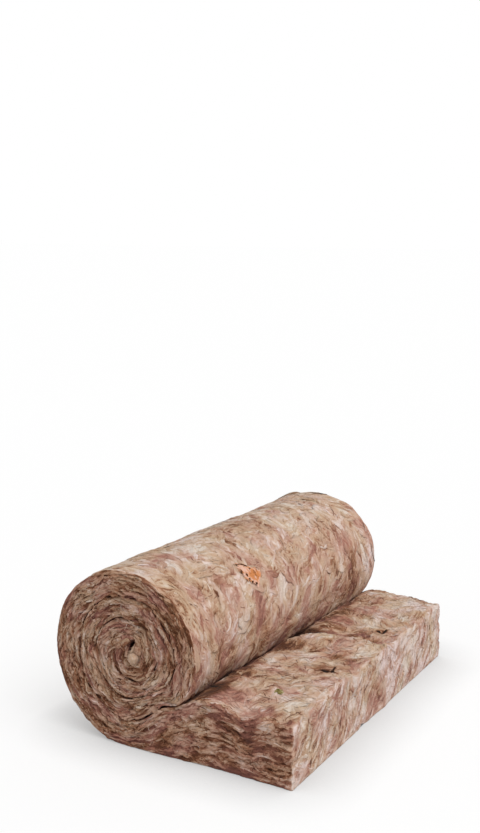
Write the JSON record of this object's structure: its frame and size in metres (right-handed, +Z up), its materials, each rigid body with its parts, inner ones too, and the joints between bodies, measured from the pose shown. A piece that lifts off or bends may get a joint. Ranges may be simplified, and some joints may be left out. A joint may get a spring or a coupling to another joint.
{
  "type": "insulation roll",
  "caption": "Mineral wool blanket, mostly rolled up and lying on its side, with a flat opened tail, spiral turns showing on both ends and a small bore at the core.",
  "frame": {"origin": "centre of the footprint's bounding box, on the floor", "axes": "+X from the roll towards the cut end of the tail, +Y along the roll's axis, +Z up"},
  "size_m": [0.4244, 0.6, 0.2805],
  "materials": {
    "wool": "matt fibrous mineral wool"
  },
  "bodies": {
    "root": {"wool_blanket": "wool"}
  },
  "joints": []
}
